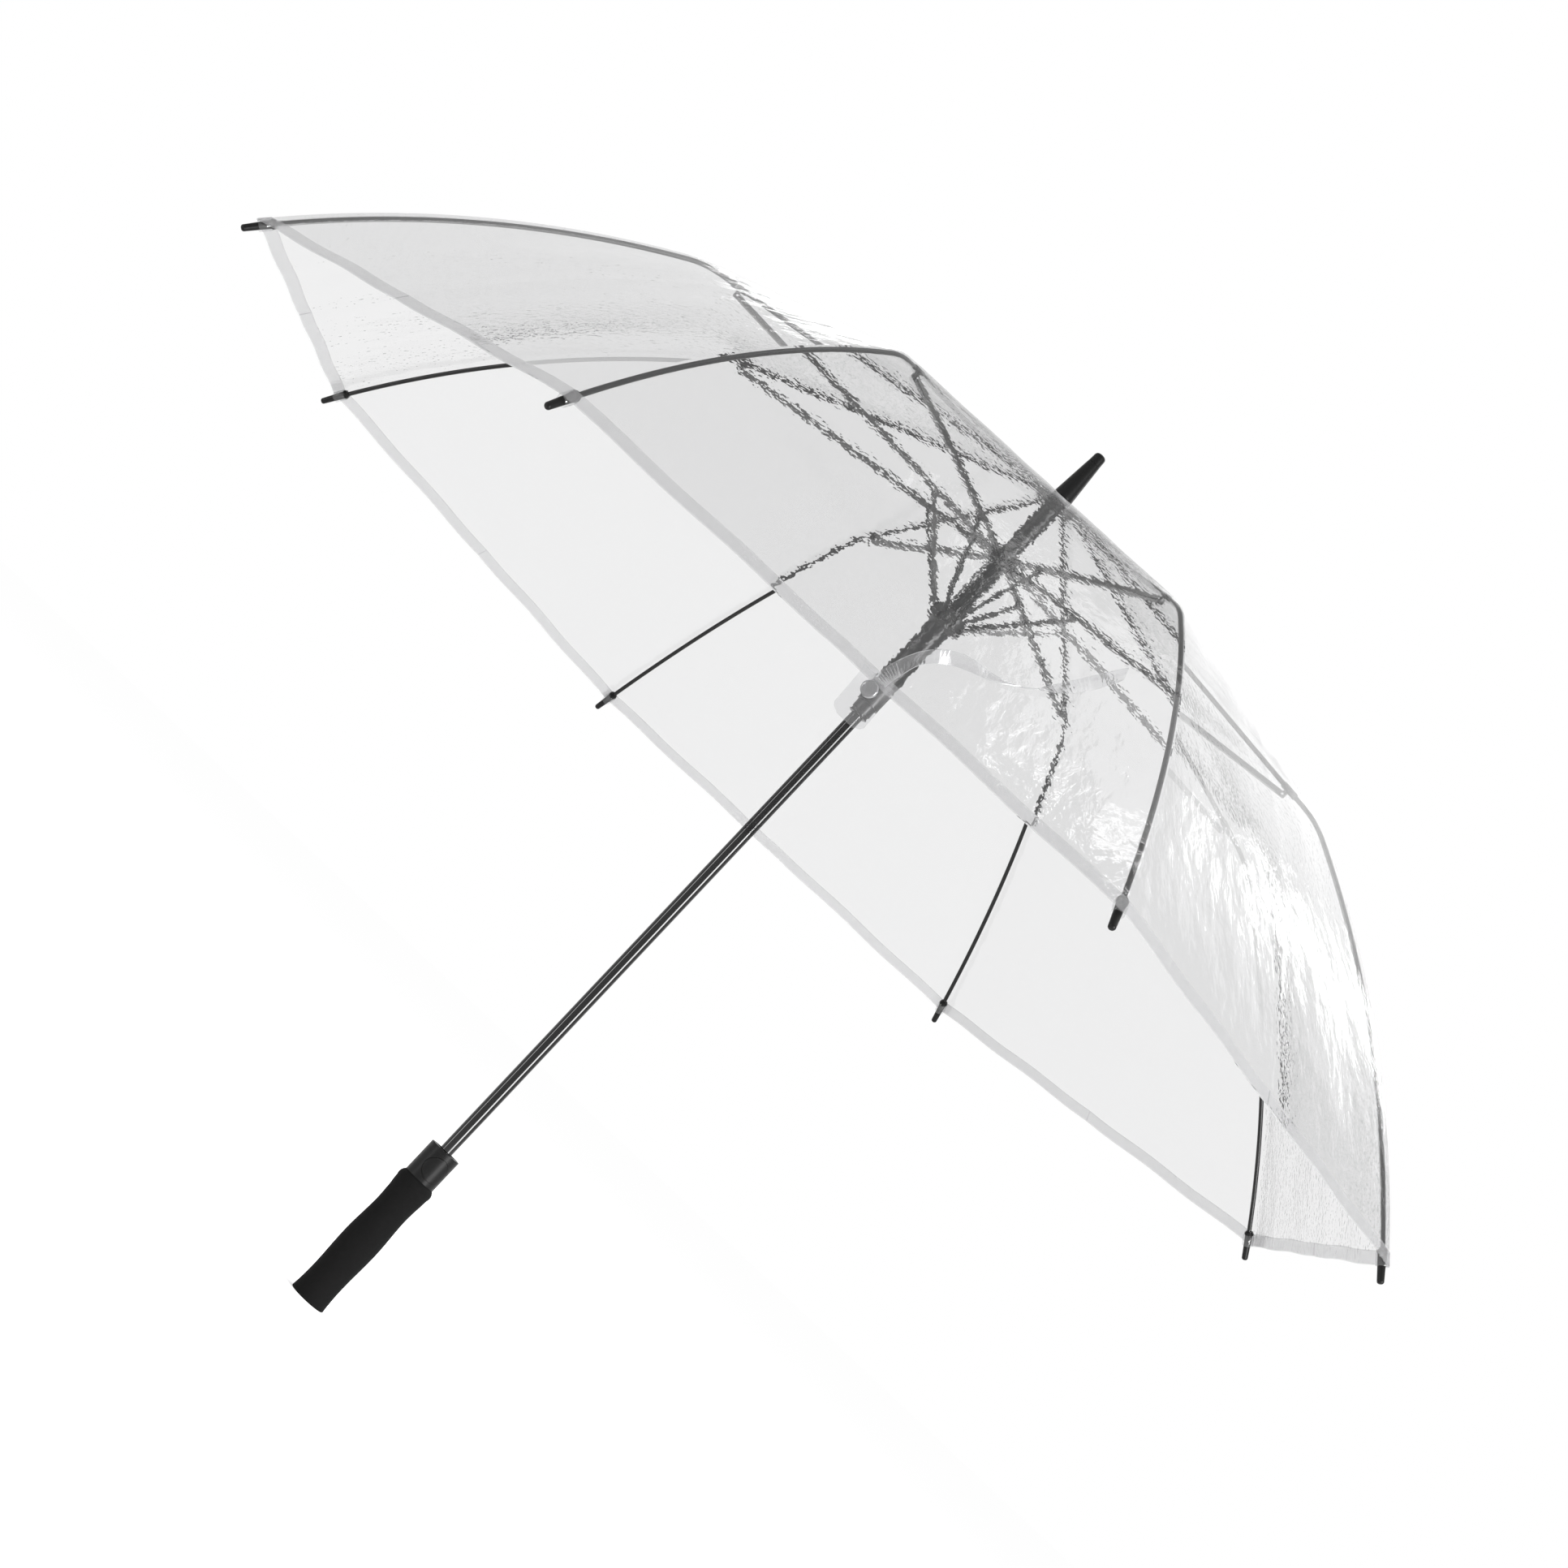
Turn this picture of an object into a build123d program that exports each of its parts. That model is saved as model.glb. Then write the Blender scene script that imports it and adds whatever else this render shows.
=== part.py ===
"""Clear-canopy stick umbrella, open, standing upright on the end of its handle.

Millimetres. +Z runs up the shaft, from the handle's end face at the origin to the ferrule.
Rib 1 lies over +X and the ribs count anticlockwise; the push button faces -Y.
Every rib's linkage lies in the radial plane through that rib, so it is drawn once in the XZ
plane and turned about Z for the other seven.
"""

from build123d import *
from math import atan2, cos, radians, sin, sqrt
import os

os.makedirs("parts", exist_ok=True)

# ---------------------------------------------------------------- driving dimensions
RIBS = 8
RIB_STEP = 360 / RIBS
LENGTH = 1000  # handle end to ferrule tip
RIM_R = 653  # rib tips, measured at the ends of the tip caps
RIM_Z = 591

SHAFT_R = 6.0
SHAFT_BORE_R = 4.6
SHAFT_BOTTOM = 24
SHAFT_TOP = 974
RUNNING_FIT = 0.06  # round the shaft, for parts that slide
PRESS_FIT = 0.02  # round the shaft, for parts fixed to it

GRIP_TOP = 135
HOUSING_R = 15.0
HOUSING_TOP = 167

ROD_R = 2.1  # fibreglass rib
NOTCH_PIVOT = (17, 930)  # radius and height of the rib's hinge at the top notch
RIB_SLOPE = 12.7  # open rib's inner half, degrees below level
STRETCHER_AT = 326  # along the rib, from the notch to the stretcher's rivet
BEND_AT = 336  # where the rib starts to bend as it folds
CURVE_AT = 347.5  # where the open rib leaves the straight
RIVET_DROP = 6.5  # rivet below the rib's centre line
HUB_PIVOT = (12, 858)
STRUT_AT = 75  # along the stretcher, from the hub to the strut's rivet
STRUT_DROP = 4.6
RUNNER_PIVOT = (16.5, 787)
KNEE = (384, 842)  # where the open rib's tight curve eases off

FILM = 0.25
FILM_GAP = 3.4  # film above the rib's centre line
HEM_GAP = 5.8  # at the rim, where the film passes over the tip caps
HEM_FROM_TIP = 14

# ---------------------------------------------------------------- linkage, open and closed
slope = radians(RIB_SLOPE)
along_rib = (cos(slope), -sin(slope))
above_rib = (sin(slope), cos(slope))


def on_rib(distance, lift=0.0):
    """A point of the rib's radial plane: distance along the inner rib, lift above it."""
    return (
        NOTCH_PIVOT[0] + distance * along_rib[0] + lift * above_rib[0],
        NOTCH_PIVOT[1] + distance * along_rib[1] + lift * above_rib[1],
    )


def xz(point):
    """A point of the radial plane as a point in space."""
    return Vector(point[0], 0, point[1])


def span(start, end):
    """Distance between two points of the radial plane."""
    return sqrt((end[0] - start[0]) ** 2 + (end[1] - start[1]) ** 2)


def heading(start, end):
    """Unit vector of the radial plane from one point to another."""
    length = span(start, end)
    return ((end[0] - start[0]) / length, (end[1] - start[1]) / length)


bend = on_rib(BEND_AT)
rivet = on_rib(STRETCHER_AT, -RIVET_DROP)
stretcher_length = span(HUB_PIVOT, rivet)
along_stretcher = heading(HUB_PIVOT, rivet)
below_stretcher = (along_stretcher[1], -along_stretcher[0])


def on_stretcher(distance, drop=0.0):
    """A point of the radial plane: distance out along the stretcher, drop below it."""
    return (
        HUB_PIVOT[0] + distance * along_stretcher[0] + drop * below_stretcher[0],
        HUB_PIVOT[1] + distance * along_stretcher[1] + drop * below_stretcher[1],
    )


strut_rivet = on_stretcher(STRUT_AT, STRUT_DROP)
strut_length = span(RUNNER_PIVOT, strut_rivet)

# closed: the inner ribs hang straight down beside the shaft, with the stretchers below them
closed_rivet = (NOTCH_PIVOT[0] - RIVET_DROP, NOTCH_PIVOT[1] - STRETCHER_AT)
closed_lean = (closed_rivet[0] - HUB_PIVOT[0]) / stretcher_length
closed_up = sqrt(1 - closed_lean**2)
closed_hub_z = closed_rivet[1] - stretcher_length * closed_up
closed_strut_rivet = (
    HUB_PIVOT[0] + STRUT_AT * closed_lean + STRUT_DROP * closed_up,
    closed_hub_z + STRUT_AT * closed_up - STRUT_DROP * closed_lean,
)
closed_strut_in = closed_strut_rivet[0] - RUNNER_PIVOT[0]
closed_runner_z = closed_strut_rivet[1] - sqrt(strut_length**2 - closed_strut_in**2)
RUNNER_TRAVEL = RUNNER_PIVOT[1] - closed_runner_z


def ring_of(part, label):
    """Writes one copy of a part for each rib, turned about the shaft."""
    for k in range(RIBS):
        piece = part.rotate(Axis.Z, k * RIB_STEP)
        piece.label = f"{label}_{k + 1}"
        export_step(piece, f"parts/{label}_{k + 1}.step")


# ---------------------------------------------------------------- shaft
with BuildPart() as shaft:
    with BuildSketch(Plane.XY.offset(SHAFT_BOTTOM)):
        Circle(SHAFT_R)
        Circle(SHAFT_BORE_R, mode=Mode.SUBTRACT)
    extrude(amount=SHAFT_TOP - SHAFT_BOTTOM)
shaft.part.label = "shaft"
export_step(shaft.part, "parts/shaft.step")

# ---------------------------------------------------------------- handle grip: foam sleeve
GRIP_END_R = 17.3
GRIP_LOW_WAIST = (16.1, 25)
GRIP_SWELL = (17.1, 68)
GRIP_HIGH_WAIST = (15.6, 105)
GRIP_SHOULDER = (17.1, 126)
GRIP_TOP_ARC = (16.9, 132)
GRIP_MOUTH_R = 14.4
SPIGOT_R = 11.0
SPIGOT_BOTTOM = 118

with BuildPart() as handle_grip:
    with BuildSketch(Plane.XZ):
        with BuildLine():
            Polyline((0, 0), (GRIP_END_R - 0.5, 0), (GRIP_END_R, 0.5))
            Spline(
                (GRIP_END_R, 0.5),
                GRIP_LOW_WAIST,
                GRIP_SWELL,
                GRIP_HIGH_WAIST,
                GRIP_SHOULDER,
                tangents=[(-0.1, 1), (0.05, 1)],
            )
            ThreePointArc(GRIP_SHOULDER, GRIP_TOP_ARC, (GRIP_MOUTH_R, GRIP_TOP))
            Polyline((GRIP_MOUTH_R, GRIP_TOP), (0, GRIP_TOP), (0, 0))
        make_face()
    revolve(axis=Axis.Z)
    with BuildSketch(Plane.XY.offset(SHAFT_BOTTOM - 2)):
        Circle(SHAFT_R + PRESS_FIT)
    extrude(amount=GRIP_TOP, mode=Mode.SUBTRACT)
    with BuildSketch(Plane.XY.offset(SPIGOT_BOTTOM - 0.5)):
        Circle(SPIGOT_R + 0.05)
    extrude(amount=GRIP_TOP, mode=Mode.SUBTRACT)
handle_grip.part.label = "handle_grip"
export_step(handle_grip.part, "parts/handle_grip.step")

# ---------------------------------------------------------------- handle housing
BUTTON_Z = 150
BUTTON_R = 11.0
BUTTON_FACE_R = 15.3
BUTTON_BACK_R = 12.3
BUTTON_TRAVEL = 1.6
POCKET_CORE_R = 10.5
LATCH_WELL_R = 9.9
LATCH_WELL_BOTTOM = 153.5
BUTTON_SPRING_Z = 143.4
BUTTON_SPRING_R = 2.8
SPRING_SEAT_Y = -7.1
YOKE_LOW = 147.5
YOKE_HIGH = 151.5
YOKE_HALF_WIDTH = 8.0
HOOK_TOP = 160.0
HOOK_HALF_WIDTH = 3.0
HOOK_INSIDE = 10.1
HOOK_OUTSIDE = 11.7
SLIP = 0.3

with BuildPart() as handle_housing:
    with BuildSketch(Plane.XY.offset(SPIGOT_BOTTOM)):
        Circle(SPIGOT_R)
    extrude(amount=GRIP_TOP - SPIGOT_BOTTOM)
    with BuildSketch(Plane.XY.offset(GRIP_TOP)):
        Circle(HOUSING_R)
    extrude(amount=HOUSING_TOP - GRIP_TOP)
    fillet(handle_housing.edges().group_by(Axis.Z)[-1], 0.8)
    with BuildSketch(Plane.XY.offset(SPIGOT_BOTTOM)):
        Circle(SHAFT_R + PRESS_FIT)
    extrude(amount=HOUSING_TOP, mode=Mode.SUBTRACT)
    # well round the shaft that takes the runner's latch neck
    with BuildSketch(Plane.XY.offset(LATCH_WELL_BOTTOM)):
        Circle(LATCH_WELL_R)
    extrude(amount=HOUSING_TOP, mode=Mode.SUBTRACT)
    # pocket behind the push button, round in front and round about the shaft behind
    with BuildPart(mode=Mode.PRIVATE) as pocket:
        with BuildSketch(Plane.XZ.offset(3)):
            with Locations((0, BUTTON_Z)):
                Circle(BUTTON_R + 0.25)
        extrude(amount=HOUSING_R)
        with BuildSketch(Plane.XY.offset(SPIGOT_BOTTOM)):
            Circle(POCKET_CORE_R)
        extrude(amount=HOUSING_TOP, mode=Mode.SUBTRACT)
    add(pocket.part, mode=Mode.SUBTRACT)
    # seat of the button's spring
    with BuildSketch(Plane.XZ.offset(-SPRING_SEAT_Y)):
        with Locations((0, BUTTON_SPRING_Z)):
            Circle(BUTTON_SPRING_R + 0.4)
    extrude(amount=POCKET_CORE_R, mode=Mode.SUBTRACT)
    # cross slot for the latch yoke, and the hook's own slot above it
    with BuildSketch(Plane.XY.offset(YOKE_LOW - SLIP)):
        with Locations((0, -0.5)):
            Rectangle(2 * (YOKE_HALF_WIDTH + SLIP), 24)
    extrude(amount=YOKE_HIGH - YOKE_LOW + 2 * SLIP, mode=Mode.SUBTRACT)
    hook_room = HOOK_OUTSIDE + BUTTON_TRAVEL + SLIP
    with BuildSketch(Plane.XY.offset(YOKE_LOW - SLIP)):
        with Locations((0, hook_room - 2.5)):
            Rectangle(2 * (HOOK_HALF_WIDTH + SLIP), 5)
    extrude(amount=HOOK_TOP - YOKE_LOW + 2 * SLIP, mode=Mode.SUBTRACT)
handle_housing.part.label = "handle_housing"
export_step(handle_housing.part, "parts/handle_housing.step")

# ---------------------------------------------------------------- push button, yoke and spring
with BuildPart() as push_button:
    with BuildSketch(Plane.XZ.offset(4)):
        with Locations((0, BUTTON_Z)):
            Circle(BUTTON_R)
    extrude(amount=HOUSING_R)
    with BuildSketch(Plane.XY.offset(BUTTON_Z - 2 * BUTTON_R)):
        Circle(BUTTON_FACE_R)
    extrude(amount=4 * BUTTON_R, mode=Mode.INTERSECT)
    with BuildSketch(Plane.XY.offset(BUTTON_Z - 2 * BUTTON_R)):
        Circle(BUTTON_BACK_R)
    extrude(amount=4 * BUTTON_R, mode=Mode.SUBTRACT)
push_button.part.label = "push_button"
export_step(push_button.part, "parts/push_button.step")

YOKE_FRONT = 11.0
YOKE_EYE_HALF = SHAFT_R + 0.4
with BuildPart() as latch_yoke:
    with BuildSketch(Plane.XY.offset(YOKE_LOW)):
        with Locations((0, (HOOK_OUTSIDE - YOKE_FRONT) / 2 - 1)):
            Rectangle(2 * YOKE_HALF_WIDTH, HOOK_OUTSIDE + YOKE_FRONT - 2)
        with Locations((0, -BUTTON_TRAVEL / 2)):
            Rectangle(2 * YOKE_EYE_HALF, 2 * YOKE_EYE_HALF + BUTTON_TRAVEL, mode=Mode.SUBTRACT)
        with Locations((0, (HOOK_INSIDE + HOOK_OUTSIDE) / 2 - 1)):
            Rectangle(2 * HOOK_HALF_WIDTH, HOOK_OUTSIDE - HOOK_INSIDE + 2)
    extrude(amount=YOKE_HIGH - YOKE_LOW)
    with BuildSketch(Plane.XY.offset(YOKE_LOW)):
        Circle(BUTTON_BACK_R - 0.1)
    extrude(amount=YOKE_HIGH - YOKE_LOW, mode=Mode.INTERSECT)
    with BuildSketch(Plane.XY.offset(YOKE_HIGH)):
        with Locations((0, (HOOK_INSIDE + HOOK_OUTSIDE) / 2)):
            Rectangle(2 * HOOK_HALF_WIDTH, HOOK_OUTSIDE - HOOK_INSIDE)
    extrude(amount=HOOK_TOP - YOKE_HIGH)
    with BuildSketch(Plane.XY.offset(HOOK_TOP - 3)):
        with Locations((0, HOOK_INSIDE - 0.4)):
            Rectangle(2 * HOOK_HALF_WIDTH, 1.2)
    extrude(amount=2)
latch_yoke.part.label = "latch_yoke"
export_step(latch_yoke.part, "parts/latch_yoke.step")

BUTTON_WIRE_R = 0.3
SPRING_TURNS = 3
spring_seat = (0, SPRING_SEAT_Y - BUTTON_WIRE_R - 0.05, BUTTON_SPRING_Z)
spring_room = sqrt(BUTTON_BACK_R**2 - BUTTON_SPRING_R**2) + spring_seat[1] - BUTTON_WIRE_R - 0.05
with BuildPart() as button_spring:
    with BuildLine():
        coil = Helix(
            spring_room / SPRING_TURNS,
            spring_room,
            BUTTON_SPRING_R - BUTTON_WIRE_R,
            center=spring_seat,
            direction=(0, -1, 0),
        )
    with BuildSketch(coil ^ 0):
        Circle(BUTTON_WIRE_R)
    sweep(is_frenet=True)
button_spring.part.label = "button_spring"
export_step(button_spring.part, "parts/button_spring.step")

# ---------------------------------------------------------------- top notch and ferrule
NOTCH_R = 20.0
NOTCH_TOP = 931.5
NOTCH_BOTTOM = 922
NOTCH_NECK_R = 9.0
NOTCH_NECK_BOTTOM = 896
CROWN_BOSS_R = 8.5
CROWN_BOSS_TOP = 941
NOTCH_SLOT_FROM = 13  # radius of the floor of the rib slots
EYE_R = 2.8
EYE_WIDTH = 4.2
EYE_HOLE_R = 1.1

with BuildPart() as top_notch:
    with BuildSketch(Plane.XZ):
        with BuildLine():
            Polyline(
                (SHAFT_R + PRESS_FIT, NOTCH_NECK_BOTTOM),
                (NOTCH_NECK_R, NOTCH_NECK_BOTTOM),
                (NOTCH_NECK_R, NOTCH_BOTTOM - 4),
                (NOTCH_NECK_R + 4, NOTCH_BOTTOM),
                (NOTCH_R, NOTCH_BOTTOM),
                (NOTCH_R, NOTCH_TOP),
                (CROWN_BOSS_R, NOTCH_TOP),
                (CROWN_BOSS_R, CROWN_BOSS_TOP),
                (SHAFT_R + PRESS_FIT, CROWN_BOSS_TOP),
                close=True,
            )
        make_face()
    revolve(axis=Axis.Z)
    with BuildSketch(Plane.XY.offset(NOTCH_BOTTOM - 5)):
        with PolarLocations((NOTCH_R + NOTCH_SLOT_FROM) / 2 + 1.5, RIBS):
            Rectangle(NOTCH_R - NOTCH_SLOT_FROM + 3, EYE_WIDTH + 1)
    extrude(amount=NOTCH_TOP - NOTCH_BOTTOM + 6, mode=Mode.SUBTRACT)
top_notch.part.label = "top_notch"
export_step(top_notch.part, "parts/top_notch.step")

WASHER_R = 9.5
WASHER_BOTTOM = 942.3
FERRULE_BOTTOM = 946.5
FERRULE_SEAM = 989
FERRULE_R = 9.6
FERRULE_SEAM_R = 6.2
with BuildPart() as crown_washer:
    with BuildSketch(Plane.XY.offset(WASHER_BOTTOM)):
        Circle(WASHER_R)
        Circle(SHAFT_R + PRESS_FIT, mode=Mode.SUBTRACT)
    extrude(amount=FERRULE_BOTTOM - WASHER_BOTTOM)
    fillet(crown_washer.edges().filter_by(GeomType.CIRCLE).sort_by(SortBy.RADIUS)[-2:], 1.2)
crown_washer.part.label = "crown_washer"
export_step(crown_washer.part, "parts/crown_washer.step")

with BuildPart() as ferrule_cap:
    with BuildSketch(Plane.XZ):
        with BuildLine():
            Polyline(
                (0, FERRULE_BOTTOM),
                (FERRULE_R - 0.5, FERRULE_BOTTOM),
                (FERRULE_R, FERRULE_BOTTOM + 0.5),
                (FERRULE_R, FERRULE_BOTTOM + 2),
                (FERRULE_SEAM_R, FERRULE_SEAM - 0.4),
                (FERRULE_SEAM_R - 0.4, FERRULE_SEAM),
                (0, FERRULE_SEAM),
                close=True,
            )
        make_face()
    revolve(axis=Axis.Z)
    with BuildSketch(Plane.XY.offset(FERRULE_BOTTOM)):
        Circle(SHAFT_R + PRESS_FIT)
    extrude(amount=SHAFT_TOP + 0.5 - FERRULE_BOTTOM, mode=Mode.SUBTRACT)
    with BuildSketch(Plane.XY.offset(FERRULE_SEAM - 6)):
        Circle(3)
    extrude(amount=6, mode=Mode.SUBTRACT)
ferrule_cap.part.label = "ferrule_cap"
export_step(ferrule_cap.part, "parts/ferrule_cap.step")

TIP_END_R = 5.5
with BuildPart() as ferrule_tip:
    with BuildSketch(Plane.XY.offset(FERRULE_SEAM)):
        Circle(FERRULE_SEAM_R - 0.2)
    with BuildSketch(Plane.XY.offset(LENGTH)):
        Circle(TIP_END_R)
    loft()
    fillet(ferrule_tip.edges().group_by(Axis.Z)[-1], 3)
    with BuildSketch(Plane.XY.offset(FERRULE_SEAM)):
        Circle(2.9)
    extrude(amount=-5.5)
ferrule_tip.part.label = "ferrule_tip"
export_step(ferrule_tip.part, "parts/ferrule_tip.step")

# ---------------------------------------------------------------- upper hub, its wire, the main spring
HUB_R = 13.8
HUB_HALF_HEIGHT = 6
HUB_NECK_R = 8.6
HUB_NECK_TOP = 895.7
HUB_SLOT_FROM = 9.2
KNUCKLE_WIDTH = 5.0
HUB_WIRE_R = 0.7
hub_bottom = HUB_PIVOT[1] - HUB_HALF_HEIGHT
hub_top = HUB_PIVOT[1] + HUB_HALF_HEIGHT
with BuildPart() as upper_hub:
    with BuildSketch(Plane.XY.offset(hub_bottom)):
        Circle(HUB_R)
        with PolarLocations((HUB_R + HUB_SLOT_FROM) / 2 + 1, RIBS):
            Rectangle(HUB_R - HUB_SLOT_FROM + 2, KNUCKLE_WIDTH + 1, mode=Mode.SUBTRACT)
    extrude(amount=2 * HUB_HALF_HEIGHT)
    with BuildSketch(Plane.XY.offset(hub_top)):
        Circle(HUB_NECK_R)
    extrude(amount=HUB_NECK_TOP - hub_top)
    with BuildSketch(Plane.XY.offset(hub_bottom)):
        Circle(SHAFT_R + RUNNING_FIT)
    extrude(amount=HUB_NECK_TOP - hub_bottom, mode=Mode.SUBTRACT)
    # groove in the underside that holds the hinge wire
    with BuildSketch(Plane.XY.offset(hub_bottom)):
        Circle(HUB_PIVOT[0] + HUB_WIRE_R + 0.05)
        Circle(HUB_PIVOT[0] - HUB_WIRE_R - 0.05, mode=Mode.SUBTRACT)
    extrude(amount=HUB_HALF_HEIGHT + HUB_WIRE_R + 0.05, mode=Mode.SUBTRACT)
upper_hub.part.label = "upper_hub"
export_step(upper_hub.part, "parts/upper_hub.step")

with BuildPart() as hub_wire:
    with BuildSketch(Plane.XZ):
        with Locations(HUB_PIVOT):
            Circle(HUB_WIRE_R)
    revolve(axis=Axis.Z)
hub_wire.part.label = "hub_wire"
export_step(hub_wire.part, "parts/hub_wire.step")

RUNNER_R = 18.2
RUNNER_HALF_HEIGHT = 6
SPRING_R = 8.9
SPRING_WIRE_R = 0.9
SPRING_PITCH = 3.5
runner_top = RUNNER_PIVOT[1] + RUNNER_HALF_HEIGHT
spring_bottom = runner_top + SPRING_WIRE_R + 0.1
spring_height = hub_bottom - runner_top - 2 * SPRING_WIRE_R - 0.2
with BuildPart() as main_spring:
    with BuildLine(Plane.XY.offset(spring_bottom)):
        coil = Helix(SPRING_PITCH, spring_height, SPRING_R)
    with BuildSketch(coil ^ 0):
        Circle(SPRING_WIRE_R)
    sweep(is_frenet=True)
main_spring.part.label = "main_spring"
export_step(main_spring.part, "parts/main_spring.step")

# ---------------------------------------------------------------- lower runner
SLEEVE_R = 11.0
LATCH_NECK_R = 9.5
LATCH_NECK_LENGTH = 12.5
LATCH_GROOVE_R = 8.7
STRUT_WIDTH = 2.6
STRUT_SLOT_FROM = 13.4
sleeve_bottom = HOUSING_TOP + 1 + RUNNER_TRAVEL  # closed, it stops just above the housing
neck_bottom = sleeve_bottom - LATCH_NECK_LENGTH
groove_low = HOOK_TOP - 3.5 + RUNNER_TRAVEL
groove_high = HOOK_TOP - 0.5 + RUNNER_TRAVEL
runner_bottom = RUNNER_PIVOT[1] - RUNNER_HALF_HEIGHT
with BuildPart() as lower_runner:
    with BuildSketch(Plane.XZ):
        with BuildLine():
            Polyline(
                (SHAFT_R + RUNNING_FIT, neck_bottom),
                (LATCH_NECK_R - 0.6, neck_bottom),
                (LATCH_NECK_R, neck_bottom + 0.6),
                (LATCH_NECK_R, groove_low),
                (LATCH_GROOVE_R, groove_low),
                (LATCH_GROOVE_R, groove_high),
                (LATCH_NECK_R, groove_high),
                (LATCH_NECK_R, sleeve_bottom),
                (SLEEVE_R, sleeve_bottom),
                (SLEEVE_R, runner_bottom - 5),
                (RUNNER_R - 3, runner_bottom),
                (RUNNER_R, runner_bottom),
                (RUNNER_R, runner_top),
                (SHAFT_R + RUNNING_FIT, runner_top),
                close=True,
            )
        make_face()
    revolve(axis=Axis.Z)
    with BuildSketch(Plane.XY.offset(runner_bottom - 6)):
        with PolarLocations((RUNNER_R + STRUT_SLOT_FROM) / 2 + 1, RIBS):
            Rectangle(RUNNER_R - STRUT_SLOT_FROM + 2, STRUT_WIDTH + 1.4)
    extrude(amount=2 * RUNNER_HALF_HEIGHT + 6, mode=Mode.SUBTRACT)
lower_runner.part.label = "lower_runner"
export_step(lower_runner.part, "parts/lower_runner.step")

# ---------------------------------------------------------------- ribs
FITTING_R = 3.0
FITTING_LENGTH = 16
LUG_WIDTH = 2.6
LUG_R = 1.9
RIVET_R = 0.9
RIVET_LENGTH = 5.6

rib_frame = Plane(origin=xz(NOTCH_PIVOT), x_dir=xz(along_rib), z_dir=(0, -1, 0))
rod_plane = Plane(origin=xz(NOTCH_PIVOT), x_dir=(0, 1, 0), z_dir=xz(along_rib))
with BuildPart() as rib_inner:
    # fibreglass rod
    with BuildSketch(rod_plane.offset(1)):
        Circle(ROD_R)
    extrude(amount=BEND_AT - 2)
    # eye at the notch
    with BuildSketch(rib_frame):
        Circle(EYE_R)
    extrude(amount=EYE_WIDTH / 2, both=True)
    # sleeve and lug that carry the stretcher's rivet
    with BuildSketch(rod_plane.offset(BEND_AT - 1 - FITTING_LENGTH)):
        Circle(FITTING_R)
    extrude(amount=FITTING_LENGTH)
    with BuildSketch(rib_frame):
        with Locations((STRETCHER_AT, -RIVET_DROP)):
            Circle(LUG_R)
        with Locations((STRETCHER_AT, -RIVET_DROP / 2)):
            Rectangle(2 * LUG_R, RIVET_DROP)
    extrude(amount=LUG_WIDTH / 2, both=True)
    with BuildSketch(rib_frame):
        with Locations((STRETCHER_AT, -RIVET_DROP)):
            Circle(RIVET_R)
    extrude(amount=RIVET_LENGTH / 2, both=True)
    # hole for the notch's hinge wire
    with BuildSketch(rib_frame):
        Circle(EYE_HOLE_R)
    extrude(amount=EYE_WIDTH, both=True, mode=Mode.SUBTRACT)
ring_of(rib_inner.part, "rib_inner")

CAP_LENGTH = 28
CAP_TIP_R = 2.8
CAP_BASE_R = 3.6
COLLAR_R = 4.3
ROD_INTO_CAP = 22

with BuildLine(Plane.XZ) as rib_curve:
    tight = TangentArc(on_rib(CURVE_AT), KNEE, tangent=along_rib)
    easy = TangentArc(KNEE, (RIM_R, RIM_Z), tangent=tight % 1)
tip_direction = easy % 1
tip = easy @ 1


def from_tip(distance):
    """A point of the rib's curve, distance back from the end of the tip cap."""
    return easy @ (1 - distance / easy.length)


with BuildPart() as rib_outer:
    with BuildLine():
        Line(xz(bend), tight @ 0)
        add(tight)
        add(easy.trim(0, 1 - (CAP_LENGTH - ROD_INTO_CAP) / easy.length))
    with BuildSketch(Plane(origin=xz(bend), x_dir=(0, 1, 0), z_dir=xz(along_rib))):
        Circle(ROD_R)
    sweep()
    # the rod starts clear of the inner rod's end, so that the rib can straighten
    with BuildSketch(rod_plane.offset(BEND_AT - 1)):
        Circle(2 * ROD_R)
    extrude(amount=2.5, mode=Mode.SUBTRACT)
ring_of(rib_outer.part, "rib_outer")

cap_frame = Plane(origin=tip, x_dir=(0, 1, 0), z_dir=tip_direction)
with BuildPart() as tip_cap:
    with BuildSketch(cap_frame.offset(-CAP_LENGTH)):
        Circle(CAP_BASE_R)
    with BuildSketch(cap_frame):
        Circle(CAP_TIP_R)
    loft()
    fillet(tip_cap.faces().filter_by(GeomType.PLANE).sort_by(Axis.Z)[0].edges(), CAP_TIP_R - 0.6)
    with BuildSketch(cap_frame.offset(1.5 - CAP_LENGTH)):
        Circle(COLLAR_R)
    extrude(amount=2)
    with BuildSketch(cap_frame.offset(-CAP_LENGTH)):
        Circle(ROD_R + 0.3)
    extrude(amount=ROD_INTO_CAP + 0.5, mode=Mode.SUBTRACT)
ring_of(tip_cap.part, "tip_cap")

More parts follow.
